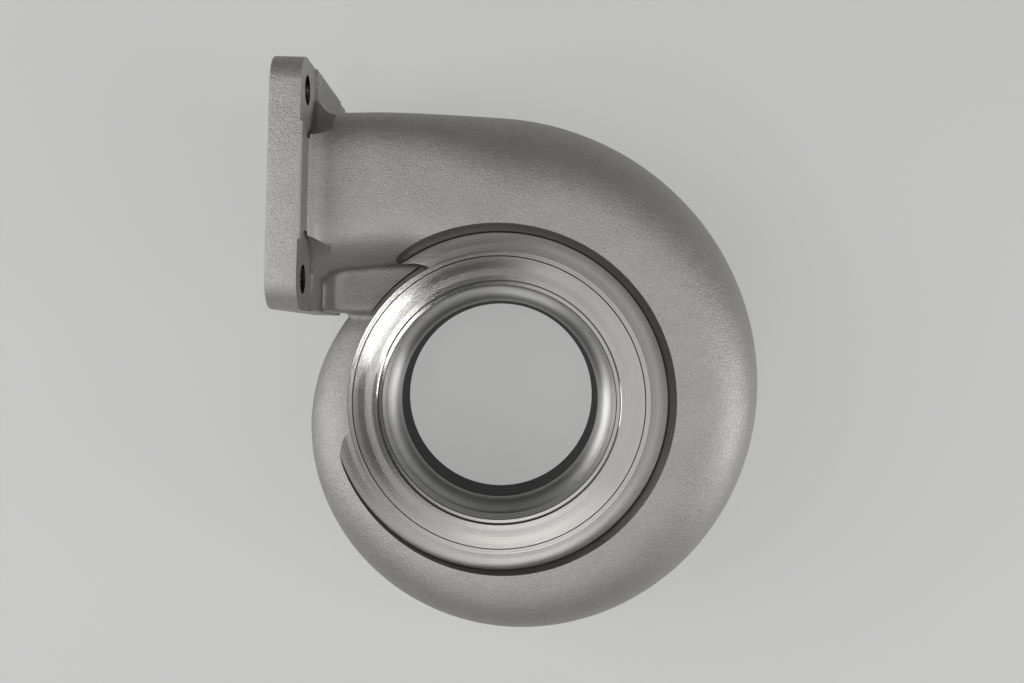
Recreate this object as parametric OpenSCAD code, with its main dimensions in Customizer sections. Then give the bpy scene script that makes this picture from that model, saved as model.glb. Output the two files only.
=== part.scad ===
// Turbine housing: one iron casting with a scroll, an inlet duct with a four-bolt flange,
// a turned centre-housing side and a turned outlet. The turbine axis is Z.
// Z = 0 is the outlet face; +Z is the centre-housing side; the inlet flange faces -X.

/* [Inlet flange] */
// distance from the turbine axis to the inlet flange face
flange_face_x = 108.2; // [100:0.2:120]
// flange thickness
flange_t = 16; // [14:0.5:22]
// flange size along Y
flange_w = 118; // [112:0.5:126]
// flange size along Z
flange_l = 152; // [146:0.5:158]
// radius of the four flange corners
flange_corner_r = 14; // [6:0.5:18]
// height of the flange centre above the turbine axis
flange_mid_y = 101.9; // [96:0.1:106]
// height of the flange centre above the outlet face
flange_mid_z = 96; // [92:0.5:100]
// bolt spacing along Y
bolt_pitch_y = 88.9; // [84:0.1:94]
// bolt spacing along Z
bolt_pitch_z = 116.8; // [112:0.1:122]
// bolt hole diameter
bolt_hole_d = 14; // [10:0.5:16]
// radius of the wrench clearance cut into the duct behind each bolt
bolt_relief_r = 21; // [17:0.5:23]
// radius of that clearance at its end
bolt_relief_end_r = 18.4; // [14:0.2:20]
// how far behind the flange that clearance reaches
bolt_relief_len = 10; // [4:0.5:14]
// radius of the thinned pad round each bolt
pad_r = 25; // [23:0.5:29]
// how much thinner the flange is on the pads
pad_depth = 1.3; // [0.5:0.1:4]
// port size along Y
port_w = 68; // [60:0.5:72]
// port size along Z
port_l = 98; // [88:0.5:102]
// radius of the port corners
port_corner_r = 26; // [20:0.5:30]

/* [Duct] */
// underside of the duct at the flange, above the axis
duct_low_y = 65; // [60:0.5:70]
// underside of the duct at the scroll, above the axis
duct_low_end_y = 70; // [66:0.5:74]
// top of the duct at the flange, above the axis
duct_top_y = 142; // [138:0.5:150]
// near side of the duct, above the outlet face
duct_near_z = 150; // [144:0.5:154]
// far side of the duct, above the outlet face
duct_far_z = 41; // [36:0.5:46]
// casting wall
wall = 6.5; // [5:0.25:8]
// radius of the cast fillet between duct and flange
flare_r = 9; // [6:0.5:10]

/* [Scroll] */
// middle of the scroll above the outlet face
scroll_mid = 89; // [86:0.5:92]
// outer radius at the top
scroll_r_top = 146; // [142:0.1:152]
// outer radius a quarter turn on
scroll_r_right = 133.7; // [130:0.1:138]
// outer radius half a turn on
scroll_r_bottom = 118.2; // [114:0.1:122]
// outer radius three quarters of a turn on
scroll_r_left = 98.6; // [96:0.1:102]
// fall of the outer radius from there to the tip
scroll_tip_drop = 11.6; // [8:0.2:15]
// crest of the near side at the top, above the outlet face
scroll_crest_z = 146; // [140:0.5:150]
// fall of the crest over one full turn
scroll_crest_fall = 62; // [56:1:66]
// depth of the far side below the scroll middle at the top
scroll_far_h = 48; // [42:0.5:54]

/* [Web] */
// lower edge of the web between flange and scroll
web_low_y = 43.6; // [40:0.2:48]
// face of the web above the outlet face
web_face_z = 96.5; // [94:0.25:98]
// back of the web above the outlet face
web_back_z = 64; // [56:0.5:72]
// how far the web sweeps up and out where it meets the flange
web_rise = 13; // [6:0.5:18]
// depth of the clamp groove in the web
web_groove_h = 3; // [1.5:0.25:4]
// outer radius of the clamp groove in the web
web_groove_r = 80.9; // [78:0.1:84]

/* [Centre-housing side] */
// flat face above the outlet face
face_z = 118; // [115:0.25:121]
// outer radius of the flat face
face_r = 73.6; // [71:0.1:75]
// radius of the clamp rim
rim_r = 76.2; // [75.2:0.1:77.5]
// radius of the neck behind the clamp rim
neck_r = 71; // [69:0.1:73]
// radius of the pilot step
pilot_r = 61.1; // [60:0.05:64]
// depth of the pilot step
pilot_depth = 2.6; // [1.5:0.1:4]
// radius of the bore
bore_r = 58.8; // [57:0.05:59.4]
// floor of the turned pocket above the outlet face
pocket_floor_z = 101.6; // [100:0.2:104]
// radius of the turned pocket
pocket_r = 87.4; // [84:0.2:90]

/* [Wheel side] */
// upper edge of the scroll slot
slot_top_z = 95.2; // [93:0.2:96]
// lower edge of the scroll slot
slot_low_z = 82; // [80:0.2:84]
// radius of the lip at the slot
lip_r = 59.7; // [59.5:0.05:61]
// radius of the exducer bore
exducer_r = 52.6; // [50:0.1:54]
// lower end of the exducer bore
exducer_low_z = 24; // [18:0.5:30]

/* [Outlet] */
// radius of the outlet pilot at the mouth
outlet_pilot_r = 62; // [61.4:0.1:63]
// depth of the outlet pilot
outlet_pilot_h = 8; // [5:0.5:10]
// radius of the outlet cone behind the pilot
outlet_r = 60; // [58:0.2:61]
// outer radius of the waist above the outlet
outlet_waist_r = 62; // [60:0.2:66]
// outer radius of the outlet neck
outlet_neck_r = 67; // [66:0.2:70]
// radius of the outlet clamp rim
outlet_rim_r = 73; // [71:0.2:76]
// thickness of the outlet clamp rim
outlet_rim_t = 4; // [3:0.25:6]

/* [Hidden] */
grey = [0.62, 0.61, 0.59];
flange_back_x = flange_face_x - flange_t;
pad_x = flange_back_x + pad_depth;
duct_mid_z = (duct_near_z + duct_far_z) / 2;
step_a = 10;
blend_x = 60;
knee_x = 44;
funnel_x = 30;
mouth_x = 8;
over = 1;
tall = 80;
last_outer = 315;
last_inner = 315;
points = 24;
r_diff1 = scroll_r_right - scroll_r_top;
r_diff2 = scroll_r_bottom - 2 * scroll_r_right + scroll_r_top;
r_diff3 = scroll_r_left - 3 * scroll_r_bottom + 3 * scroll_r_right - scroll_r_top;
hub_in = exducer_r + 1.4;
slot_r = 68;
guard_r = pocket_r + wall;
guard_z = slot_top_z - 0.7;

// Outer radius of the scroll, a smooth curve through the four named radii
function scroll_curve(s) =
    scroll_r_top + s * r_diff1 + s * (s - 1) / 2 * r_diff2 + s * (s - 1) * (s - 2) / 6 * r_diff3;

// Past the fourth radius the tip closes in by its own drop
function scroll_r(a) = a > 270
    ? scroll_r_left - scroll_tip_drop * (a - 270) / (last_outer - 270)
    : scroll_curve(a / 90);

function scroll_mid_z(a) = scroll_mid - a * 0.013;
function crest_h(a) = scroll_crest_z - scroll_crest_fall * a / 360 - scroll_mid_z(a);
function far_h(a) = scroll_far_h * (1 - a / 400);
function mix(a, b, s) = a + (b - a) * min(1, max(0, s));
function power(v, p) = sign(v) * pow(abs(v), p);

// One section as [low, high, middle, near height, far height, inner exponent, outer exponent]
function loop_pt(s, t) =
    let (half = (s[1] - s[0]) / 2)
    let (n = cos(t) < 0 ? s[5] : s[6])
    let (h = sin(t) < 0 ? s[4] : s[3])
    [(s[0] + s[1]) / 2 + half * power(cos(t), 2 / n), s[2] + h * power(sin(t), 2 / n)];

function flare(x) =
    let (d = max(0, flare_r - (flange_back_x - x)))
    flare_r - sqrt(flare_r * flare_r - d * d);

function duct_low(x) = x > knee_x
    ? mix(duct_low_end_y, duct_low_y, (x - knee_x) / (flange_back_x - knee_x))
    : mix(hub_in, duct_low_end_y, x / knee_x);

function duct_top(x) = mix(scroll_r_top, duct_top_y, x / flange_back_x);
function duct_mid(x) = mix(scroll_mid, duct_mid_z, x / blend_x);

function duct_outer(x) =
    let (f = min(flare_r * 2 / 3, flare(x)))
    let (s = x / blend_x)
    [
        duct_low(x) - f,
        duct_top(x) + f,
        duct_mid(x),
        mix(crest_h(0), duct_near_z - duct_mid_z, s) + f,
        mix(far_h(0), duct_mid_z - duct_far_z, s) + f,
        5,
        mix(2.4, 4, s)
    ];

function duct_inner(x) =
    let (s = (x - funnel_x) / (flange_back_x - funnel_x))
    let (end_y = duct_low_end_y + wall)
    let (low = x > knee_x ? duct_low(x) + wall : mix(bore_r + 2.2, end_y, sqrt(x / knee_x)))
    [
        mix(low, flange_mid_y - port_w / 2 + 1, (x - flange_back_x) / mouth_x),
        mix(duct_top(x) - wall, flange_mid_y + port_w / 2 - 1, s),
        mix(duct_mid(x), flange_mid_z, s),
        mix(crest_h(0) - wall, port_l / 2 - 1, s),
        mix(far_h(0) - wall, port_l / 2 - 1, s),
        mix(4.5, 3.4, s),
        mix(2.4, 3.4, s)
    ];

function scroll_outer(a) =
    [hub_in, scroll_r(a), scroll_mid_z(a), crest_h(a), far_h(a), 4, 2.4];

function scroll_inner(a) =
    let (tail = max(0, (a - 280) / 45))
    [
        bore_r + 2.2,
        mix(scroll_r(a) - wall, slot_r + 3, tail),
        scroll_mid_z(a),
        max(4.5, crest_h(a) - wall),
        max(6, far_h(a) - wall),
        4.5,
        2.4
    ];

function duct_loop(s, x) = [for (i = [0:points - 1]) let (p = loop_pt(s, i * 360 / points)) [-x, p[0], p[1]]];
function scroll_loop(s, a) =
    [for (i = [0:points - 1]) let (p = loop_pt(s, i * 360 / points)) [p[0] * sin(a), p[0] * cos(a), p[1]]];

module loft(loops) {
    last = len(loops) - 1;
    pts = [for (l = loops) for (p = l) p];
    sides = [
        for (k = [0:last - 1])
        for (i = [0:points - 1])
        let (j = (i + 1) % points)
        for (f = [
            [k * points + i, (k + 1) * points + j, k * points + j],
            [k * points + i, (k + 1) * points + i, (k + 1) * points + j]
        ]) f
    ];
    start = [for (i = [0:points - 1]) i];
    end = [for (i = [points - 1:-1:0]) last * points + i];
    polyhedron(points = pts, faces = concat(sides, [start, end]), convexity = 10);
}

outer_x = [flange_face_x - 8, flange_back_x + 0.6, flange_back_x - 1.6, flange_back_x - 4, flange_back_x - 9, 66, 52, 38, 19];
inner_x = [flange_face_x - 9, flange_back_x, 76, 60, 46, 32, 16];

module scroll_body() {
    loft(concat(
        [for (x = outer_x) duct_loop(duct_outer(x), x)],
        [for (a = [0:step_a:last_outer - 1]) scroll_loop(scroll_outer(a), a)],
        [scroll_loop(scroll_outer(last_outer), last_outer)]
    ));
}

module scroll_passage() {
    difference() {
        loft(concat(
            [for (x = inner_x) duct_loop(duct_inner(x), x)],
            [for (a = [0:step_a:last_inner - 1]) scroll_loop(scroll_inner(a), a)],
            [scroll_loop(scroll_inner(last_inner), last_inner)]
        ));
        translate([0, 0, guard_z])
            cylinder(r = guard_r, h = tall, $fn = 96);
        rotate_extrude($fn = 96)
            polygon([
                [0, 20],
                [lip_r + 4.3, 20],
                [lip_r + 4.3, slot_low_z - 12],
                [lip_r + 3, slot_low_z - 2.5],
                [lip_r + 2.2, slot_low_z - 0.7],
                [0, slot_low_z - 0.7]
            ]);
    }
}

module rounded_plate(w, l, r, t) {
    linear_extrude(height = t)
        union() {
            square([w - 2 * r, l], center = true);
            square([w, l - 2 * r], center = true);
            for (sx = [-1, 1])
                for (sy = [-1, 1])
                    translate([sx * (w / 2 - r), sy * (l / 2 - r)])
                        circle(r = r, $fn = 48);
        }
}

// Places a plate drawn in XY so that it lies across X, its first size along Y
module across_x(x) {
    translate([x, flange_mid_y, flange_mid_z])
        rotate([90, 0, 90])
            children();
}

module at_bolts() {
    for (sy = [-1, 1])
        for (sz = [-1, 1])
            translate([0, flange_mid_y + sy * bolt_pitch_y / 2, flange_mid_z + sz * bolt_pitch_z / 2])
                rotate([0, 90, 0])
                    children();
}

module at_pads() {
    shift = (pad_r - bolt_relief_r) * 0.55;
    for (sy = [-1, 1])
        for (sz = [-1, 1])
            translate([
                0,
                flange_mid_y + sy * (bolt_pitch_y / 2 + shift),
                flange_mid_z + sz * (bolt_pitch_z / 2 + shift)
            ])
                rotate([0, 90, 0])
                    children();
}

module web() {
    translate([0, 0, web_back_z])
        linear_extrude(height = web_face_z - web_back_z)
            polygon([
                [-flange_back_x - 3, web_low_y],
                [-45, web_low_y],
                [-20, 50],
                [-5, 58],
                [-5, duct_low_end_y + 6],
                [-flange_back_x - 3, duct_low_y + 8]
            ]);
    translate([0, duct_low_y + 3, 0])
        rotate([90, 0, 0])
            linear_extrude(height = duct_low_y + 2.5 - web_low_y)
                polygon([
                    [-flange_back_x - 3, web_face_z - 2],
                    [-flange_back_x + web_rise, web_face_z - 2],
                    [-flange_back_x + web_rise, web_face_z],
                    [-flange_back_x + web_rise * 0.4, web_face_z + web_rise * 0.25],
                    [-flange_back_x + web_rise * 0.1, web_face_z + web_rise * 0.6],
                    [-flange_back_x, web_face_z + web_rise],
                    [-flange_back_x - 3, web_face_z + web_rise]
                ]);
}

module hub() {
    rotate_extrude($fn = 96)
        polygon([
            [0, 0],
            [outlet_rim_r, 0],
            [outlet_rim_r, outlet_rim_t],
            [outlet_neck_r, outlet_rim_t + 3.5],
            [outlet_neck_r - 1, outlet_pilot_h + 4],
            [outlet_waist_r, exducer_low_z + 2],
            [outlet_waist_r, exducer_low_z + 16],
            [outlet_neck_r, slot_low_z - 24],
            [outlet_neck_r, slot_top_z - 2],
            [0, slot_top_z - 2]
        ]);
}

module boss() {
    rotate_extrude($fn = 96)
        polygon([
            [0, slot_top_z - 4],
            [neck_r, slot_top_z - 4],
            [neck_r, face_z - 9],
            [rim_r, face_z - 4],
            [rim_r, face_z - 0.9],
            [face_r, face_z - 0.9],
            [face_r, face_z],
            [0, face_z]
        ]);
}

module turned_bore() {
    rotate_extrude($fn = 96)
        polygon([
            [0, -1],
            [outlet_pilot_r, -1],
            [outlet_pilot_r, outlet_pilot_h],
            [outlet_r, outlet_pilot_h],
            [exducer_r, exducer_low_z],
            [exducer_r, slot_low_z - 24],
            [exducer_r + 0.7, slot_low_z - 18],
            [exducer_r + 2, slot_low_z - 11],
            [exducer_r + 3.9, slot_low_z - 5],
            [lip_r - 1.2, slot_low_z - 1.4],
            [lip_r, slot_low_z],
            [slot_r, slot_low_z],
            [slot_r, slot_top_z],
            [bore_r, slot_top_z],
            [bore_r, face_z - pilot_depth],
            [pilot_r, face_z - pilot_depth],
            [pilot_r, face_z + 1],
            [0, face_z + 1]
        ]);
}

module rough_casting() {
    difference() {
        union() {
            scroll_body();
            web();
            hub();
            across_x(-flange_face_x)
                rounded_plate(flange_w, flange_l, flange_corner_r, flange_t);
        }
        translate([0, 0, pocket_floor_z])
            cylinder(r = pocket_r, h = tall, $fn = 96);
        rotate([0, 0, 124])
            rotate_extrude(angle = 28, $fn = 96)
                translate([neck_r - 3, web_face_z - web_groove_h])
                    square([web_groove_r - neck_r + 3, 20]);
    }
}

module hollow_casting() {
    difference() {
        union() {
            rough_casting();
            boss();
        }
        scroll_passage();
        turned_bore();
    }
}

module turbine_housing() {
    color(grey)
        difference() {
            difference() {
                hollow_casting();
                across_x(-flange_face_x - over)
                    rounded_plate(port_w, port_l, port_corner_r, over + 10);
            }
            at_bolts()
                translate([0, 0, -flange_face_x - 1])
                    cylinder(r = bolt_hole_d / 2, h = flange_t + 2, $fn = 48);
            at_bolts()
                translate([0, 0, -pad_x])
                    cylinder(r1 = bolt_relief_r, r2 = bolt_relief_end_r, h = pad_depth + bolt_relief_len, $fn = 48);
            at_pads()
                translate([0, 0, -pad_x])
                    cylinder(r = pad_r, h = pad_depth + 2, $fn = 48);
        }
}

turbine_housing();
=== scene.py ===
import math

import bmesh
import bpy
from mathutils import Matrix, Vector


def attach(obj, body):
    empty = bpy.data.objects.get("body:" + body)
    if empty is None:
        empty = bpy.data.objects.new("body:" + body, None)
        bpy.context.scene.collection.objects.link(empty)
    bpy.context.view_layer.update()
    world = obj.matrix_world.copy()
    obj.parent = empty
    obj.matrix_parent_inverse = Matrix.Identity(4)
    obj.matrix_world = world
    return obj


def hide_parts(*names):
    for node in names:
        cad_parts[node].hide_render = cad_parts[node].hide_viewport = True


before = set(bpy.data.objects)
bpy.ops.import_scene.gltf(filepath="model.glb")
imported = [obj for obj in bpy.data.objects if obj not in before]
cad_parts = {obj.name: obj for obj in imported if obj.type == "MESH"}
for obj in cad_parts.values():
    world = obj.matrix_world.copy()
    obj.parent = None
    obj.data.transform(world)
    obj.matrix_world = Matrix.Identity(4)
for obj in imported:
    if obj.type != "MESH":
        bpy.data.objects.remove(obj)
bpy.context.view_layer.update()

mm = 0.001
fullTurn = 2 * math.pi
quarterTurn = math.pi / 2


def mix(a, b, share):
    return a + (b - a) * min(1.0, max(0.0, share))


def power(value, exponent):
    return math.copysign(abs(value) ** exponent, value)


# Node helpers
def feed(tree, socket, value):
    if isinstance(value, bpy.types.NodeSocket):
        tree.links.new(value, socket)
    elif socket.type == "RGBA":
        socket.default_value = (*value, 1.0)
    else:
        socket.default_value = value


def addNoise(tree, place, scale, detail=2.0, rough=0.5, dimensions="3D"):
    node = tree.nodes.new("ShaderNodeTexNoise")
    node.noise_dimensions = dimensions
    feed(tree, node.inputs["W" if dimensions == "1D" else "Vector"], place)
    feed(tree, node.inputs["Scale"], scale)
    feed(tree, node.inputs["Detail"], detail)
    feed(tree, node.inputs["Roughness"], rough)
    return node.outputs["Fac"]


def addRange(tree, value, low, high, toLow, toHigh):
    node = tree.nodes.new("ShaderNodeMapRange")
    feed(tree, node.inputs["Value"], value)
    feed(tree, node.inputs["From Min"], low)
    feed(tree, node.inputs["From Max"], high)
    feed(tree, node.inputs["To Min"], toLow)
    feed(tree, node.inputs["To Max"], toHigh)
    return node.outputs["Result"]


def addMath(tree, kind, a, b):
    node = tree.nodes.new("ShaderNodeMath")
    node.operation = kind
    feed(tree, node.inputs[0], a)
    feed(tree, node.inputs[1], b)
    return node.outputs[0]


def addVector(tree, kind, a, b):
    node = tree.nodes.new("ShaderNodeVectorMath")
    node.operation = kind
    feed(tree, node.inputs[0], a)
    feed(tree, node.inputs["Scale" if kind == "SCALE" else 1], b)
    return node.outputs["Vector"]


def addMix(tree, share, colourA, colourB):
    node = tree.nodes.new("ShaderNodeMix")
    node.data_type = "RGBA"
    factor, first, second = node.inputs[0], node.inputs[6], node.inputs[7]
    feed(tree, factor, share)
    feed(tree, first, colourA)
    feed(tree, second, colourB)
    return node.outputs[2]


def addBump(tree, height, strength, distance, under=None):
    node = tree.nodes.new("ShaderNodeBump")
    feed(tree, node.inputs["Height"], height)
    feed(tree, node.inputs["Strength"], strength)
    feed(tree, node.inputs["Distance"], distance)
    if under is not None:
        feed(tree, node.inputs["Normal"], under)
    return node.outputs["Normal"]


def startGroup(name, inputs):
    group = bpy.data.node_groups.new(name, "ShaderNodeTree")
    for label, kind in inputs.items():
        group.interface.new_socket(label, in_out="INPUT", socket_type=kind)
    for label, kind in (("Colour", "Color"), ("Roughness", "Float"), ("Normal", "Vector")):
        group.interface.new_socket(label, in_out="OUTPUT", socket_type="NodeSocket" + kind)
    return group, group.nodes.new("NodeGroupInput").outputs, group.nodes.new("NodeGroupOutput").inputs


def startMaterial(name):
    material = bpy.data.materials.new(name)
    material.use_nodes = True
    tree = material.node_tree
    tree.nodes.clear()
    out = tree.nodes.new("ShaderNodeOutputMaterial")
    shader = tree.nodes.new("ShaderNodeBsdfPrincipled")
    tree.links.new(shader.outputs["BSDF"], out.inputs["Surface"])
    coords = tree.nodes.new("ShaderNodeTexCoord")
    return material, tree, shader, coords.outputs["Object"]


def placeGroup(tree, group, shader, values):
    node = tree.nodes.new("ShaderNodeGroup")
    node.node_tree = group
    for label, value in values.items():
        feed(tree, node.inputs[label], value)
    for label, socket in (("Colour", "Base Color"), ("Roughness", "Roughness"), ("Normal", "Normal")):
        tree.links.new(node.outputs[label], shader.inputs[socket])


# Sand-cast skin: blotches, lighter specks and a fine grain over low swells
# A noise gives its detail and roughness, a range its noise values and what they become
castEffect = {
    "grainNoise": (3.0, 0.6),
    "grainRough": (0.3, 0.7, -0.06, 0.1),
    "blotchNoise": (55, 4.0, 0.6),
    "blotchRange": (0.35, 0.65, 0.15, 0.85),
    "speckFiner": 1.7,
    "speckDetail": 1.0,
    "speckLight": 1.5,
    "speckRange": (0.38, 0.7, 0.0, 0.6),
    "swellScale": 180,
    "swellHeight": (0.35, 0.0006),
    "grainHeight": (0.9, 0.0003),
}


def makeCastGroup():
    inputs = {
        "Place": "NodeSocketVector",
        "Light": "NodeSocketColor",
        "Dark": "NodeSocketColor",
        "Roughness": "NodeSocketFloat",
        "Grain": "NodeSocketFloat",
    }
    tree, given, out = startGroup("cast_skin", inputs)
    place, light, grain = given["Place"], given["Light"], given["Grain"]
    fine = addNoise(tree, place, grain, *castEffect["grainNoise"])
    blotch = addNoise(tree, place, *castEffect["blotchNoise"])
    blotchShare = addRange(tree, blotch, *castEffect["blotchRange"])
    speckScale = addMath(tree, "MULTIPLY", grain, castEffect["speckFiner"])
    speck = addNoise(tree, place, speckScale, castEffect["speckDetail"])
    speckShare = addRange(tree, speck, *castEffect["speckRange"])
    base = addMix(tree, blotchShare, light, given["Dark"])
    bright = addVector(tree, "SCALE", light, castEffect["speckLight"])
    feed(tree, out["Colour"], addMix(tree, speckShare, base, bright))
    spread = addRange(tree, fine, *castEffect["grainRough"])
    feed(tree, out["Roughness"], addMath(tree, "ADD", given["Roughness"], spread))
    swell = addBump(tree, addNoise(tree, place, castEffect["swellScale"]), *castEffect["swellHeight"])
    feed(tree, out["Normal"], addBump(tree, fine, *castEffect["grainHeight"], swell))
    return tree


castLook = {
    "light": (0.360, 0.353, 0.340),
    "dark": (0.315, 0.309, 0.298),
    "metal": 0.72,
    "rough": 0.5,
    "grain": 1150,
}


# Shade scales both colours; below 1 it paints shade
def makeCast(name, look, shade):
    material, tree, shader, place = startMaterial(name)
    values = {
        "Place": place,
        "Light": tuple(part * shade for part in look["light"]),
        "Dark": tuple(part * shade for part in look["dark"]),
        "Roughness": look["rough"],
        "Grain": look["grain"],
    }
    placeGroup(tree, castGroup, shader, values)
    shader.inputs["Metallic"].default_value = look["metal"]
    return material


# Tool marks of a lathe: fine rings, broad bands of gloss and faint worn patches
turnedEffect = {
    "ringNoise": (2.0, 0.6, "1D"),
    "ringRange": (0.3, 0.7, 0.0, 1.0),
    "ringDark": 0.86,
    "ringHeight": (0.25, 0.00006),
    "bandNoise": (260, 2.0, 0.5, "1D"),
    "bandRough": (0.3, 0.7, -0.04, 0.07),
    "patchNoise": (40, 3.0),
    "patchRange": (0.35, 0.7, 0.0, 0.28),
    "patchDark": 0.7,
    "depthShare": 0.83,
}


def makeTurnedGroup():
    inputs = {
        "Place": "NodeSocketVector",
        "Along": "NodeSocketFloat",
        "Colour": "NodeSocketColor",
        "Roughness": "NodeSocketFloat",
        "Pitch": "NodeSocketFloat",
    }
    tree, given, out = startGroup("turned_marks", inputs)
    along, colour = given["Along"], given["Colour"]
    rings = addNoise(tree, along, given["Pitch"], *turnedEffect["ringNoise"])
    ringColour = addVector(tree, "SCALE", colour, turnedEffect["ringDark"])
    tint = addMix(tree, addRange(tree, rings, *turnedEffect["ringRange"]), colour, ringColour)
    patch = addNoise(tree, given["Place"], *turnedEffect["patchNoise"])
    patchColour = addVector(tree, "SCALE", colour, turnedEffect["patchDark"])
    worn = addRange(tree, patch, *turnedEffect["patchRange"])
    feed(tree, out["Colour"], addMix(tree, worn, tint, patchColour))
    bands = addNoise(tree, along, *turnedEffect["bandNoise"])
    spread = addRange(tree, bands, *turnedEffect["bandRough"])
    feed(tree, out["Roughness"], addMath(tree, "ADD", given["Roughness"], spread))
    feed(tree, out["Normal"], addBump(tree, rings, *turnedEffect["ringHeight"]))
    return tree


turnedLook = {
    "colour": (0.43, 0.42, 0.398),
    "rough": 0.15,
    "pitch": 2300,
    "streaks": 0.7,
    "streakTurn": 0.25,
    "metal": 1.0,
    "shine": 0.5,
}
milledLook = {**turnedLook, "pitch": 1500, "streaks": 0.4}
# Pocket walls and the clamp groove get a much darker copy of the turned metal: painted shade on walls and
# in the recess
paintedShadeWallLook = {**turnedLook, "colour": (0.23, 0.225, 0.213), "rough": 0.42, "streaks": 0.2}
# The pocket floor is a slightly darker copy of the turned metal: painted shade for the recessed floor
paintedShadeFloorLook = {**turnedLook, "colour": (0.40, 0.39, 0.37), "rough": 0.2}
# The bore wall and the flare get a lighter copy of the turned metal: painted highlight
paintedHighlightBoredLook = {**turnedLook, "colour": (0.52, 0.515, 0.50), "rough": 0.36, "streaks": 0.92}
# Near-black and not metal: painted shade for the bore below the flare, the slot, the lip step and the fine
# line in the boss
paintedShadeLook = {
    **turnedLook,
    "colour": (0.045, 0.044, 0.043),
    "rough": 0.6,
    "streaks": 0.1,
    "metal": 0.0,
    "shine": 0.1,
}
millCentre = (-0.1095, 0.02, -0.16)


def makeTurned(name, look, centre=(0.0, 0.0, 0.0), axis="Z"):
    material, tree, shader, place = startMaterial(name)
    shifted = addVector(tree, "SUBTRACT", place, centre)
    flat = addVector(tree, "MULTIPLY", shifted, (1, 1, 0) if axis == "Z" else (0, 1, 1))
    size = tree.nodes.new("ShaderNodeVectorMath")
    size.operation = "LENGTH"
    tree.links.new(flat, size.inputs[0])
    parts = tree.nodes.new("ShaderNodeSeparateXYZ")
    tree.links.new(shifted, parts.inputs[0])
    depth = addMath(tree, "MULTIPLY", parts.outputs[axis], turnedEffect["depthShare"])
    values = {
        "Place": place,
        "Along": addMath(tree, "ADD", size.outputs["Value"], depth),
        "Colour": look["colour"],
        "Roughness": look["rough"],
        "Pitch": look["pitch"],
    }
    placeGroup(tree, turnedGroup, shader, values)
    shader.inputs["Metallic"].default_value = look["metal"]
    shader.inputs["Specular IOR Level"].default_value = look["shine"]
    shader.inputs["Anisotropic"].default_value = look["streaks"]
    shader.inputs["Anisotropic Rotation"].default_value = look["streakTurn"]
    around = addVector(tree, "CROSS_PRODUCT", flat, (0, 0, 1) if axis == "Z" else (1, 0, 0))
    toWorld = tree.nodes.new("ShaderNodeVectorTransform")
    toWorld.vector_type = "VECTOR"
    toWorld.convert_from = "OBJECT"
    toWorld.convert_to = "WORLD"
    tree.links.new(around, toWorld.inputs[0])
    tree.links.new(toWorld.outputs[0], shader.inputs["Tangent"])
    return material


castGroup = makeCastGroup()
turnedGroup = makeTurnedGroup()
castingMaterials = {
    "cast": makeCast("cast_iron", castLook, 1.0),
    "turned": makeTurned("turned_metal", turnedLook),
    "milled": makeTurned("milled_metal", milledLook, millCentre, "X"),
    # The passage's copy of the cast iron is darkened to 0.7: painted shade inside the casting
    "passage": makeCast("cast_passage_painted_shade", castLook, 0.7),
    "paintedShadeWall": makeTurned("pocket_wall_painted_shade", paintedShadeWallLook),
    "boredPaintedHighlight": makeTurned("bored_metal_painted_highlight", paintedHighlightBoredLook),
    "dark": makeTurned("painted_shade_black", paintedShadeLook),
    "paintedShadeFloor": makeTurned("pocket_floor_painted_shade", paintedShadeFloorLook),
}
slots = {name: index for index, name in enumerate(castingMaterials)}
print("materials made")


# Mesh helpers, with sizes in mm; points nearer than the weld distance, in metres, are one point
weld = 1e-6


def movedVerts(grown):
    return [item for item in grown if isinstance(item, bmesh.types.BMVert)]


def addObject(name, bm, slot="cast", slotAt=None):
    bmesh.ops.recalc_face_normals(bm, faces=bm.faces[:])
    bm.normal_update()
    for face in bm.faces:
        face.material_index = slots[slotAt(face) if slotAt else slot]
    mesh = bpy.data.meshes.new(name)
    bm.to_mesh(mesh)
    bm.free()
    obj = bpy.data.objects.new(name, mesh)
    bpy.context.scene.collection.objects.link(obj)
    for material in castingMaterials.values():
        mesh.materials.append(material)
    return obj


def ringEdges(ring):
    members = set(ring)
    touching = dict.fromkeys(edge for vert in ring for edge in vert.link_edges)
    return [edge for edge in touching if members.issuperset(edge.verts)]


def loft(name, loops, slot="cast"):
    bm = bmesh.new()
    circle = bmesh.ops.create_circle(bm, cap_ends=True, segments=len(loops[0]), radius=1.0)
    ring = circle["verts"]
    for vert, place in zip(ring, loops[0]):
        vert.co = place
    for loop in loops[1:]:
        order = {tuple(vert.co): index for index, vert in enumerate(ring)}
        grown = bmesh.ops.extrude_edge_only(bm, edges=ringEdges(ring))["geom"]
        ring = sorted(movedVerts(grown), key=lambda vert: order[tuple(vert.co)])
        for vert, place in zip(ring, loop):
            vert.co = place
    bmesh.ops.edgeloop_fill(bm, edges=ringEdges(ring))
    return addObject(name, bm, slot)


def lathe(name, profile, steps, turn, slot="cast", slotAt=None):
    bm = bmesh.new()
    verts = [bm.verts.new((r * mm, 0, z * mm)) for r, z in profile]
    edges = [bm.edges.new(pair) for pair in zip(verts, verts[1:])]
    bmesh.ops.spin(
        bm, geom=verts + edges, cent=(0, 0, 0), axis=(0, 0, 1), angle=fullTurn, steps=steps, use_merge=True
    )
    bmesh.ops.remove_doubles(bm, verts=bm.verts[:], dist=weld)
    # The turn keeps the steps of two turned shapes from lying on each other
    bmesh.ops.rotate(bm, verts=bm.verts[:], cent=(0, 0, 0), matrix=Matrix.Rotation(turn, 3, "Z"))
    return addObject(name, bm, slot, slotAt)


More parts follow.
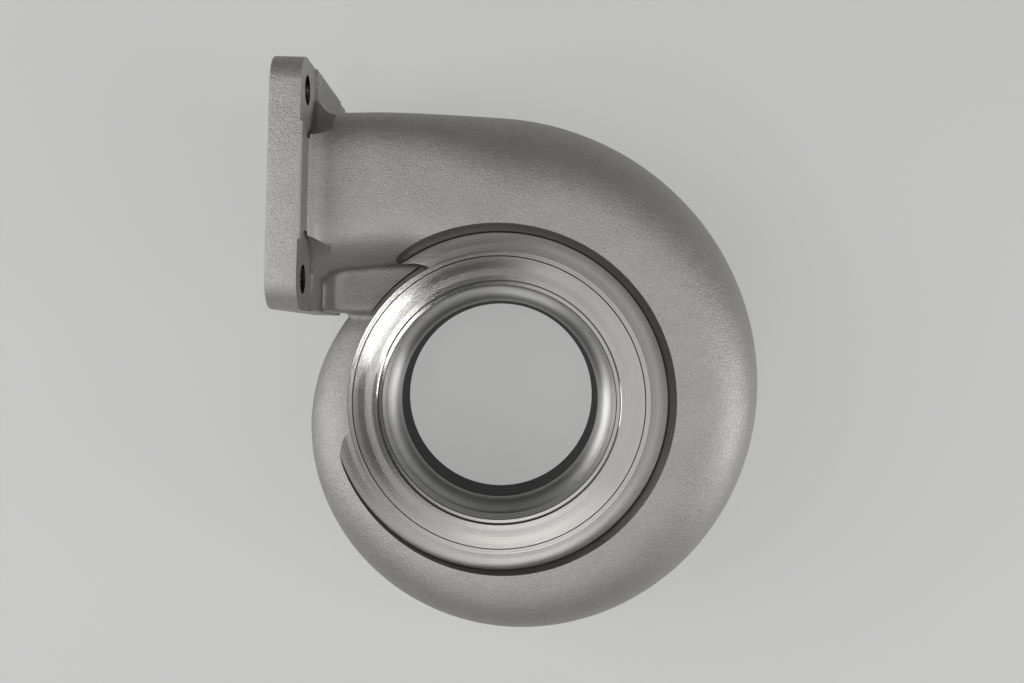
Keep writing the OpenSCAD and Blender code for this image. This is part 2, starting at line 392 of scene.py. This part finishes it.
def plate(name, x0, x1, width, length, corner, slot="cast", segments=12, edge=0.0):
    bm = bmesh.new()
    verts = bmesh.ops.create_cube(bm, size=1.0)["verts"]
    bmesh.ops.scale(bm, verts=verts, vec=((x1 - x0) * mm, width * mm, length * mm))
    bmesh.ops.translate(bm, verts=verts, vec=Vector(((x0 + x1) / 2, flange["midY"], flange["midZ"])) * mm)
    upright = [item for item in bm.edges if abs(item.verts[0].co.x - item.verts[1].co.x) > weld]
    rounding = {"affect": "EDGES", "profile": 0.5, "material": -1}
    bmesh.ops.bevel(bm, geom=upright, offset=corner * mm, segments=segments, **rounding)
    if edge > 0:
        rims = [item for item in bm.edges if item.calc_face_angle(0) > math.radians(70)]
        bmesh.ops.bevel(bm, geom=rims, offset=edge * mm, segments=3, **rounding)
    return addObject(name, bm, slot)


def prism(name, corners, push):
    bm = bmesh.new()
    verts = [bm.verts.new(Vector(corner) * mm) for corner in corners]
    face = bmesh.ops.contextual_create(bm, geom=verts)["faces"][0]
    grown = bmesh.ops.extrude_face_region(bm, geom=[face])["geom"]
    bmesh.ops.translate(bm, verts=movedVerts(grown), vec=Vector(push) * mm)
    return addObject(name, bm)


def rod(name, x0, x1, y, z, radius, radiusEnd, slot="cast", segments=72):
    bm = bmesh.new()
    matrix = Matrix.Translation(Vector(((x0 + x1) / 2, y, z)) * mm) @ Matrix.Rotation(quarterTurn, 4, "Y")
    bmesh.ops.create_cone(
        bm,
        cap_ends=True,
        segments=segments,
        radius1=radius * mm,
        radius2=radiusEnd * mm,
        depth=(x1 - x0) * mm,
        matrix=matrix,
    )
    return addObject(name, bm, slot)


def settle(obj):
    depsgraph = bpy.context.evaluated_depsgraph_get()
    mesh = bpy.data.meshes.new_from_object(obj.evaluated_get(depsgraph))
    obj.modifiers.clear()
    old = obj.data
    obj.data = mesh
    bpy.data.meshes.remove(old)


def combine(target, tool, operation="DIFFERENCE"):
    step = target.modifiers.new("step", "BOOLEAN")
    step.operation = operation
    step.object = tool
    step.solver = "MANIFOLD"
    settle(target)
    bpy.data.objects.remove(tool)


def joinAll(name, parts):
    bm = bmesh.new()
    for part in parts:
        bm.from_mesh(part.data)
        bpy.data.objects.remove(part)
    return addObject(name, bm)


# Sections of the scroll and the duct: lowest and highest reach, middle height, height above and
# below it, and how square the section is on its inner and outer side
def sectionPoint(section, t):
    low, high, middle, near, far, innerPower, outerPower = section
    n = innerPower if math.cos(t) < 0 else outerPower
    height = far if math.sin(t) < 0 else near
    across = (low + high) / 2 + (high - low) / 2 * power(math.cos(t), 2 / n)
    return across, middle + height * power(math.sin(t), 2 / n)


def sectionPoints(section, points):
    return [sectionPoint(section, fullTurn * index / points) for index in range(points)]


def ductLoop(section, x, points):
    return [Vector((-x, across, up)) * mm for across, up in sectionPoints(section, points)]


def scrollLoop(section, a, points):
    side, ahead = math.sin(math.radians(a)), math.cos(math.radians(a))
    ends = sectionPoints(section, points)
    return [Vector((across * side, across * ahead, up)) * mm for across, up in ends]


flange = {
    "face": 108.2,
    "thick": 16.0,
    "width": 118.0,
    "length": 152.0,
    "corner": 14.0,
    "cornerSteps": 14,
    "edge": 0.9,
    "midY": 101.9,
    "midZ": 96.0,
}
flangeBack = flange["face"] - flange["thick"]

# The scroll's outer radii at the top, right, bottom and left; angles in degrees from the top
scroll = {
    "radii": (146.0, 133.7, 118.2, 98.6),
    "inset": 0.4,
    "tipFrom": 270,
    "tipDrop": 11.6,
    "lastTurn": 315,
    "stepDegrees": 3,
    "middle": 89.0,
    "middleFall": 0.013,
    "crest": 146.0,
    "crestFall": 62.0,
    "farDepth": 48.0,
    "farTurn": 400,
    "hubIn": 54.0,
    "innerPower": 4,
    "outerPower": 2.4,
    "tipPower": 1.8,
    "slimFrom": 180,
    "slimOver": 80,
}


def scrollRadius(a):
    top, right, bottom, left = [radius - scroll["inset"] for radius in scroll["radii"]]
    tip = a - scroll["tipFrom"]
    if tip > 0:
        return left - scroll["tipDrop"] * tip / (scroll["lastTurn"] - scroll["tipFrom"])
    # A cubic through the four radii, counted in quarter turns
    s = a / 90
    d1 = right - top
    d2 = bottom - 2 * right + top
    d3 = left - 3 * bottom + 3 * right - top
    return top + s * d1 + s * (s - 1) / 2 * d2 + s * (s - 1) * (s - 2) / 6 * d3


def scrollMiddle(a):
    return scroll["middle"] - a * scroll["middleFall"]


def crestHeight(a):
    return scroll["crest"] - scroll["crestFall"] * a / 360 - scrollMiddle(a)


def farHeight(a):
    return scroll["farDepth"] * (1 - a / scroll["farTurn"])


def scrollOuter(a):
    slim = (a - scroll["slimFrom"]) / scroll["slimOver"]
    return (
        scroll["hubIn"],
        scrollRadius(a),
        scrollMiddle(a),
        crestHeight(a),
        farHeight(a),
        scroll["innerPower"],
        mix(scroll["outerPower"], scroll["tipPower"], slim),
    )


# The duct from the scroll's top to the flange; x is the distance from the turbine axis
duct = {
    "flangeLow": 65.0,
    "kneeLow": 70.0,
    "kneeX": 44,
    "top": 142.0,
    "near": 150.0,
    "far": 41.0,
    "blendX": 60,
    "flareRadius": 9,
    "flareMost": 6.0,
    "innerPower": 5,
    "outerPower": 4,
    "flareStations": [100.2, 97, 94, 92.8, 91.6, 90.6, 89.2, 87.7, 86.2, 84.7, 83.2, 80, 76],
    "plainStations": [*range(71, 5, -5), 2],
}


def flare(x):
    radius = duct["flareRadius"]
    d = max(0.0, radius - (flangeBack - x))
    return min(duct["flareMost"], radius - math.sqrt(max(0.0, radius**2 - d * d)))


def ductLow(x):
    knee = duct["kneeX"]
    if x > knee:
        return mix(duct["kneeLow"], duct["flangeLow"], (x - knee) / (flangeBack - knee))
    return mix(scroll["hubIn"], duct["kneeLow"], x / knee)


def ductTop(x):
    return mix(scrollRadius(0), duct["top"], x / flangeBack)


def ductMid(x):
    return mix(scroll["middle"], (duct["near"] + duct["far"]) / 2, x / duct["blendX"])


def ductOuter(x):
    f = flare(x)
    s = x / duct["blendX"]
    half = (duct["near"] - duct["far"]) / 2
    return (
        ductLow(x) - f,
        ductTop(x) + f,
        ductMid(x),
        mix(crestHeight(0), half, s) + f,
        mix(farHeight(0), half, s) + f,
        duct["innerPower"],
        mix(scroll["outerPower"], duct["outerPower"], s),
    )


# The web under the groove, with a round fillet where it meets the flange
web = {
    "low": 43.6,
    "face": 96.5,
    "back": 64.0,
    "farX": -95,
    "shape": [(-45, 43.6), (-20, 50), (-5, 58), (-5, 76), (-95, 73)],
    "fillet": 6.5,
    "filletSteps": 8,
    "filletSink": 2.0,
    "filletEndX": -95.2,
    "filletUnder": 0.2,
    "filletOver": 3,
}


def makeWeb():
    corners = [(x, y, web["back"]) for x, y in [(web["farX"], web["low"]), *web["shape"]]]
    return prism("web", corners, (0, 0, web["face"] - web["back"]))


def makeFillet():
    rise = web["fillet"]
    start = web["low"] + web["filletUnder"]
    end = duct["flangeLow"] + web["filletOver"]
    bottom = web["face"] - web["filletSink"]
    outline = [(web["filletEndX"], bottom), (rise - flangeBack, bottom)]
    for index in range(web["filletSteps"] + 1):
        t = quarterTurn * index / web["filletSteps"]
        outline.append((rise * (1 - math.sin(t)) - flangeBack, web["face"] + rise * (1 - math.cos(t))))
    outline.append((web["filletEndX"], web["face"] + rise))
    return prism("fillet", [(x, start, z) for x, z in outline], (0, end - start, 0))


# The hub round the bore, down to the outlet's rim: radius and height of each edge
hub = {
    "rim": (73, 4),
    "rimBack": (67, 7.5),
    "neck": [(66, 12), (62, 26), (62, 40)],
    "shoulder": (67, 58),
    "top": 93,
    "steps": 180,
}


def makeHub():
    outline = [
        (0, 0),
        (hub["rim"][0], 0),
        hub["rim"],
        hub["rimBack"],
        *hub["neck"],
        hub["shoulder"],
        (hub["shoulder"][0], hub["top"]),
        (0, hub["top"]),
    ]
    return lathe("hub", outline, hub["steps"], 0.0)


# The cast skin over all of it: a fine remesh melts the parts into each other
skin = {
    "points": 96,
    "voxel": 0.0015,
    "smoothRounds": 9,
    "smoothShare": 0.5,
    "keepTriangles": 0.55,
}


def makeRough():
    points = skin["points"]
    turns = range(0, scroll["lastTurn"] + 1, scroll["stepDegrees"])
    loops = [ductLoop(ductOuter(x), x, points) for x in duct["flareStations"] + duct["plainStations"]]
    loops += [scrollLoop(scrollOuter(a), a, points) for a in turns]
    rough = joinAll("turbine_casting", [loft("scroll", loops), makeWeb(), makeFillet(), makeHub()])
    melt = rough.modifiers.new("melt", "REMESH")
    melt.mode = "VOXEL"
    melt.voxel_size = skin["voxel"]
    soft = rough.modifiers.new("soft", "SMOOTH")
    soft.factor = skin["smoothShare"]
    soft.iterations = skin["smoothRounds"]
    thin = rough.modifiers.new("thin", "DECIMATE")
    thin.ratio = skin["keepTriangles"]
    settle(rough)
    slab = plate(
        "flange",
        -flange["face"],
        -flangeBack,
        flange["width"],
        flange["length"],
        flange["corner"],
        segments=flange["cornerSteps"],
        edge=flange["edge"],
    )
    combine(rough, slab, "UNION")
    print("rough casting:", len(rough.data.polygons), "faces")
    return rough


turningSteps = 256
openAbove = 180

# The turned pocket round the clamp rim
pocket = {
    "floor": 101.6,
    "radius": 87.4,
    "corner": 0.8,
}


# Upright faces of the pocket take the darker painted-shade wall colour, flat faces the floor's
def pocketSlot(face):
    return "paintedShadeWall" if abs(face.normal.z) < 0.9 else "paintedShadeFloor"


def cutPocket(body):
    floor, radius, corner = pocket["floor"], pocket["radius"], pocket["corner"]
    outline = [
        (0, floor),
        (radius - corner, floor),
        (radius, floor + corner),
        (radius, openAbove),
        (0, openAbove),
    ]
    combine(body, lathe("pocket", outline, turningSteps, 0.0, slotAt=pocketSlot))


# The clamp groove in the web, a short sector that rises a little
groove = {
    "inner": 68,
    "outer": 80.9,
    "floor": 93.5,
    "corner": 0.5,
    "top": 130,
    "startDegrees": 122,
    "sweepDegrees": 36,
    "steps": 48,
    "risePerStep": 0.06,
}


def cutGroove(body):
    floor, outer, corner = groove["floor"], groove["outer"], groove["corner"]
    outline = [
        (groove["inner"], floor),
        (outer - corner, floor),
        (outer, floor + corner),
        (outer, groove["top"]),
        (groove["inner"], groove["top"]),
    ]
    bm = bmesh.new()
    start = Matrix.Rotation(math.radians(groove["startDegrees"]), 3, "Z")
    verts = [bm.verts.new(start @ Vector((r * mm, 0, z * mm))) for r, z in outline]
    face = bmesh.ops.contextual_create(bm, geom=verts)["faces"][0]
    bmesh.ops.spin(
        bm,
        geom=[face] + face.edges[:] + face.verts[:],
        cent=(0, 0, 0),
        axis=(0, 0, 1),
        angle=math.radians(groove["sweepDegrees"]),
        steps=groove["steps"],
        dvec=(0, 0, groove["risePerStep"] * mm),
        use_duplicate=False,
    )
    bmesh.ops.remove_doubles(bm, verts=bm.verts[:], dist=weld)
    # The whole groove takes the darker painted-shade wall colour
    combine(body, addObject("groove", bm, "paintedShadeWall"))


# The turned boss: clamp rim, the fine line cut inside it, and the flat face
boss = {
    "foot": 91.2,
    "neck": 71,
    "rimFrom": 109,
    "rimLow": 114,
    "rim": 76.2,
    "rimTop": 117.4,
    "rimEdge": 0.1,
    "lineOuter": 73.85,
    "lineInner": 73.4,
    "lineTaper": 0.05,
    "lineFloor": 116.0,
    "face": 118,
    "faceEdge": 0.15,
}
closeBy = 0.1


# The fine line's faces take the near-black painted shade
def bossSlot(face):
    centre = face.calc_center_median() / mm
    inLine = boss["lineInner"] - closeBy < centre.xy.length < boss["lineOuter"] + closeBy
    return "dark" if inLine and centre.z > boss["lineFloor"] - closeBy else "turned"


def addBoss(body):
    outline = [
        (0, boss["foot"]),
        (boss["neck"], boss["foot"]),
        (boss["neck"], boss["rimFrom"]),
        (boss["rim"], boss["rimLow"]),
        (boss["rim"], boss["rimTop"] - boss["rimEdge"]),
        (boss["rim"] - boss["rimEdge"], boss["rimTop"]),
        (boss["lineOuter"], boss["rimTop"]),
        (boss["lineOuter"] - boss["lineTaper"], boss["lineFloor"]),
        (boss["lineInner"], boss["lineFloor"]),
        (boss["lineInner"], boss["face"] - boss["faceEdge"]),
        (boss["lineInner"] - boss["faceEdge"], boss["face"]),
        (0, boss["face"]),
    ]
    combine(body, lathe("boss", outline, turningSteps, 0.3, slotAt=bossSlot), "UNION")
    print("boss on:", len(body.data.polygons), "faces")


# The bore from the outlet up: pilot, throat, shroud with its flare, slot, bore and lip
bore = {
    "outlet": 62,
    "outletEdge": 0.4,
    "outletDepth": 8,
    "throat": 60,
    "throatTop": 24,
    "shroud": 52.6,
    "flareFrom": 74,
    "flareOut": 7.1,
    "flareUp": 8,
    "flareSteps": 14,
    "slot": 68,
    "slotTop": 95.2,
    "radius": 58.8,
    "edge": 0.4,
    "top": 115.0,
    "lip": 61.1,
    "lipTop": 117.6,
    "over": 1,
}


# Below the flare, in the slot and on the lip step the bore takes the near-black painted shade; the flare
# and bore wall take the lighter painted-highlight copy
def boreSlot(face):
    height = face.calc_center_median().z / mm
    ledge = bore["top"] + bore["edge"]
    darkBands = [
        (-openAbove, bore["flareFrom"]),
        (bore["flareFrom"] + bore["flareUp"], bore["slotTop"]),
        (bore["top"], ledge),
        (ledge, bore["lipTop"]),
    ]
    if any(low + closeBy < height < high - closeBy for low, high in darkBands):
        return "dark"
    return "turned" if height > bore["top"] else "boredPaintedHighlight"


def cutBore(body):
    edge, over = bore["edge"], bore["over"]
    angles = [quarterTurn * index / bore["flareSteps"] for index in range(bore["flareSteps"] + 1)]
    mouth = bore["shroud"] + bore["flareOut"]
    flareTop = bore["flareFrom"] + bore["flareUp"]
    curve = [
        (mouth - bore["flareOut"] * math.cos(t), bore["flareFrom"] + bore["flareUp"] * math.sin(t))
        for t in angles
    ]
    ledge = bore["top"] + edge
    outline = [
        (0, -over),
        (bore["outlet"] + bore["outletEdge"], -over),
        (bore["outlet"], bore["outletEdge"]),
        (bore["outlet"], bore["outletDepth"]),
        (bore["throat"], bore["outletDepth"]),
        (bore["shroud"], bore["throatTop"]),
        *curve,
        (bore["slot"], flareTop),
        (bore["slot"], bore["slotTop"]),
        (bore["radius"] + edge, bore["slotTop"]),
        (bore["radius"], bore["slotTop"] + edge),
        (bore["radius"], bore["top"]),
        (bore["radius"] + edge, ledge),
        (bore["lip"], ledge),
        (bore["lip"], bore["lipTop"]),
        (bore["lip"] + edge, boss["face"]),
        (bore["lip"] + edge, boss["face"] + over),
        (0, boss["face"] + over),
    ]
    combine(body, lathe("bore", outline, turningSteps, 0.1, slotAt=boreSlot))


# The gas passage inside duct and scroll, kept clear of the land above the slot and of the shroud
passage = {
    "wall": 6.5,
    "hubIn": 61.0,
    "hubPower": 4.5,
    "outerPower": 2.4,
    "portPower": 3.4,
    "funnelX": 30,
    "mouthLength": 8,
    "mouthInset": 1,
    "tailFrom": 280,
    "tailOver": 45,
    "tailRadius": 71.0,
    "leastNear": 4.5,
    "leastFar": 6.0,
    "points": 64,
    "steps": 192,
    "stations": [99.2, 96, 92.2, 84, 76, 68, 60, 52, 46, 39, 32, 24, 16, 8],
    "stepDegrees": 5,
    "landRadius": 93.9,
    "landLow": 94.5,
    "shroudBack": [(64, 20), (64, 70), (62.7, 79.5), (61.9, 81.3)],
}
port = {
    "width": 68.0,
    "length": 98.0,
    "corner": 26.0,
    "depth": 10,
}


def ductInner(x):
    wall, inset = passage["wall"], passage["mouthInset"]
    s = (x - passage["funnelX"]) / (flangeBack - passage["funnelX"])
    halfWidth = port["width"] / 2 - inset
    halfLength = port["length"] / 2 - inset
    low = ductLow(x) + wall
    if x <= duct["kneeX"]:
        low = mix(passage["hubIn"], duct["kneeLow"] + wall, math.sqrt(max(0, x / duct["kneeX"])))
    return (
        mix(low, flange["midY"] - halfWidth, (x - flangeBack) / passage["mouthLength"]),
        mix(ductTop(x) - wall, flange["midY"] + halfWidth, s),
        mix(ductMid(x), flange["midZ"], s),
        mix(crestHeight(0) - wall, halfLength, s),
        mix(farHeight(0) - wall, halfLength, s),
        mix(passage["hubPower"], passage["portPower"], s),
        mix(passage["outerPower"], passage["portPower"], s),
    )


def scrollInner(a):
    wall = passage["wall"]
    tail = max(0.0, (a - passage["tailFrom"]) / passage["tailOver"])
    return (
        passage["hubIn"],
        mix(scrollRadius(a) - wall, passage["tailRadius"], tail),
        scrollMiddle(a),
        max(passage["leastNear"], crestHeight(a) - wall),
        max(passage["leastFar"], farHeight(a) - wall),
        passage["hubPower"],
        passage["outerPower"],
    )


def cutPassage(body):
    points, steps = passage["points"], passage["steps"]
    radius, low = passage["landRadius"], passage["landLow"]
    turns = range(0, scroll["lastTurn"] + 1, passage["stepDegrees"])
    loops = [ductLoop(ductInner(x), x, points) for x in passage["stations"]]
    loops += [scrollLoop(scrollInner(a), a, points) for a in turns]
    tool = loft("passage", loops, "passage")
    land = [(0, low), (radius, low), (radius, openAbove), (0, openAbove)]
    combine(tool, lathe("land", land, steps, 0.2, "passage"))
    back = passage["shroudBack"]
    shroud = [(0, back[0][1]), *back, (0, back[-1][1])]
    combine(tool, lathe("shroud", shroud, steps, 0.2, "passage"))
    combine(body, tool)
    print("passage cut:", len(body.data.polygons), "faces")


# The four bolt holes, with a wrench clearance and a thinned pad behind each
bolts = {
    "pitchY": 88.9,
    "pitchZ": 116.8,
    "radius": 7.0,
    "chamfer": 1.4,
    "chamferDepth": 0.9,
    "chamferOver": 0.5,
    "reliefRadius": 21.0,
    "reliefEnd": 18.4,
    "reliefLength": 10.0,
    "reliefSteps": 96,
    "padRadius": 25.0,
    "padDepth": 1.3,
    "padShift": 0.55,
    "padPast": 0.3,
    "over": 1,
}


def cutBolt(body, sideY, sideZ):
    face = -flange["face"]
    back = -flangeBack
    over = bolts["over"]
    pad = back - bolts["padDepth"]
    padRadius, relief, hole = bolts["padRadius"], bolts["reliefRadius"], bolts["radius"]
    y = flange["midY"] + sideY * bolts["pitchY"] / 2
    z = flange["midZ"] + sideZ * bolts["pitchZ"] / 2
    shift = (padRadius - relief) * bolts["padShift"]
    padY, padZ = y + sideY * shift, z + sideZ * shift
    reliefTop = back + bolts["reliefLength"]
    wide = hole + bolts["chamfer"]
    start, end = face - bolts["chamferOver"], face + bolts["chamferDepth"]
    steps = bolts["reliefSteps"]
    combine(body, rod("pad", pad, back + bolts["padPast"], padY, padZ, padRadius, padRadius))
    combine(body, rod("relief", pad, reliefTop, y, z, relief, bolts["reliefEnd"], segments=steps))
    combine(body, rod("bolt", face - over, pad + over, y, z, hole, hole, "milled"))
    combine(body, rod("chamfer", start, end, y, z, wide, hole, "milled"))


def cutFlange(body):
    face = -flange["face"]
    size = (port["width"], port["length"], port["corner"])
    combine(body, plate("port", face - bolts["over"], face + port["depth"], *size, "milled"))
    for sideY in (-1, 1):
        for sideZ in (-1, 1):
            cutBolt(body, sideY, sideZ)
    print("flange cut:", len(body.data.polygons), "faces")


# Smooth where the casting is soft, crisp at machined edges and where the finish or the painted shade and
# highlight change
def shade(mesh, crispDegrees=38):
    bm = bmesh.new()
    bm.from_mesh(mesh)
    for face in bm.faces:
        face.smooth = True
    for edge in bm.edges:
        finishes = {face.material_index for face in edge.link_faces}
        edge.smooth = len(finishes) == 1 and edge.calc_face_angle(0) < math.radians(crispDegrees)
    bm.to_mesh(mesh)
    bm.free()


body = makeRough()
cutPocket(body)
cutGroove(body)
addBoss(body)
cutBore(body)
cutPassage(body)
cutFlange(body)
shade(body.data)
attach(body, "root")
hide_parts("turbine_housing")

# Floor, lamps, world and camera; a lamp has its place, its target, its two sides in metres and its watts
studio = {
    "floor": (0.28, 0.28, 0.278),
    "floorFleck": 0.97,
    "floorRough": 0.8,
    "floorPatches": 3.0,
    "floorSize": 4.0,
    "floorGlow": 1.25,
    "sky": (0.95, 0.97, 1.0),
    "skyLight": 0.02,
    "skySeen": 0.12,
    "lamps": {
        "over_right": ((0.42, -0.06, 1.4), (0.1, 0, 0.1), 0.9, 0.9, 2.3),
        "over_left": ((-0.74, -0.08, 1.35), (-0.1, 0, 0.1), 0.9, 0.8, 2.0),
        "near_card": ((-0.02, -0.42, 1.38), (0, 0, 0.1), 0.6, 0.36, 0.8),
        "glint": ((-0.215, 0.065, 1.40), (0, 0, 0.1), 0.13, 0.08, 0.42),
        "left_strip": ((-0.86, 0.10, 0.95), (0, 0, 0.1), 0.62, 0.95, 4.6),
        "right_strip": ((0.88, -0.12, 0.95), (0, 0, 0.1), 0.5, 0.95, 2.3),
        "near_strip": ((-0.22, -0.80, 1.00), (0, 0, 0.1), 0.5, 0.7, 1.6),
        "left_low": ((-1.15, -0.06, 0.42), (0, 0, 0.1), 0.4, 0.4, 2.6),
        "right_low": ((1.15, -0.30, 0.42), (0, 0, 0.1), 0.4, 0.4, 4.6),
    },
}


def seenDirectly(tree):
    path = tree.nodes.new("ShaderNodeLightPath")
    bright = addMath(tree, "MAXIMUM", path.outputs["Is Glossy Ray"], path.outputs["Is Transmission Ray"])
    return addMath(tree, "MAXIMUM", path.outputs["Is Camera Ray"], bright)


def makeFloor():
    bm = bmesh.new()
    bmesh.ops.create_grid(bm, x_segments=1, y_segments=1, size=studio["floorSize"])
    mesh = bpy.data.meshes.new("studio_floor")
    bm.to_mesh(mesh)
    bm.free()
    floor = bpy.data.objects.new("studio_floor", mesh)
    bpy.context.scene.collection.objects.link(floor)
    material, tree, shader, place = startMaterial("floor_paper")
    fleck = tuple(part * studio["floorFleck"] for part in studio["floor"])
    paper = addMix(tree, addNoise(tree, place, studio["floorPatches"]), studio["floor"], fleck)
    glow = addMath(tree, "MULTIPLY", seenDirectly(tree), studio["floorGlow"])
    feed(tree, shader.inputs["Base Color"], paper)
    feed(tree, shader.inputs["Roughness"], studio["floorRough"])
    feed(tree, shader.inputs["Emission Color"], paper)
    feed(tree, shader.inputs["Emission Strength"], glow)
    mesh.materials.append(material)


def addLamp(name, place, target, sizeX, sizeY, watts):
    light = bpy.data.lights.new(name, "AREA")
    light.shape = "RECTANGLE"
    light.size = sizeX
    light.size_y = sizeY
    light.energy = watts
    lamp = bpy.data.objects.new(name, light)
    bpy.context.scene.collection.objects.link(lamp)
    lamp.location = place
    lamp.rotation_euler = (Vector(target) - Vector(place)).to_track_quat("-Z", "Y").to_euler()
    lamp.visible_camera = False


def makeWorld():
    world = bpy.data.worlds.new("studio_world")
    bpy.context.scene.world = world
    world.use_nodes = True
    tree = world.node_tree
    tree.nodes.clear()
    out = tree.nodes.new("ShaderNodeOutputWorld")
    back = tree.nodes.new("ShaderNodeBackground")
    seen = addRange(tree, seenDirectly(tree), 0.0, 1.0, studio["skyLight"], studio["skySeen"])
    feed(tree, back.inputs["Color"], studio["sky"])
    feed(tree, back.inputs["Strength"], seen)
    tree.links.new(back.outputs[0], out.inputs["Surface"])


# The camera's focal length is in pixels of a picture 1024 wide
photoCamera = {
    "focalPixels": 1192,
    "pictureWidth": 1024,
    "sensor": 36.0,
    "place": (0.00565, 0.03076, 0.715),
    "rollDegrees": 1.5,
    "clip": (0.01, 20),
}


def makeCamera():
    camera = bpy.data.cameras.new("photo_camera")
    camera.sensor_width = photoCamera["sensor"]
    camera.lens = photoCamera["sensor"] * photoCamera["focalPixels"] / photoCamera["pictureWidth"]
    camera.clip_start, camera.clip_end = photoCamera["clip"]
    eye = bpy.data.objects.new("photo_camera", camera)
    bpy.context.scene.collection.objects.link(eye)
    eye.location = photoCamera["place"]
    eye.rotation_euler = (0, 0, math.radians(photoCamera["rollDegrees"]))
    bpy.context.scene.camera = eye


makeFloor()
for lampName, lampFacts in studio["lamps"].items():
    addLamp(lampName, *lampFacts)
makeWorld()
makeCamera()
bpy.context.scene.view_settings.view_transform = "Standard"
print("studio ready")
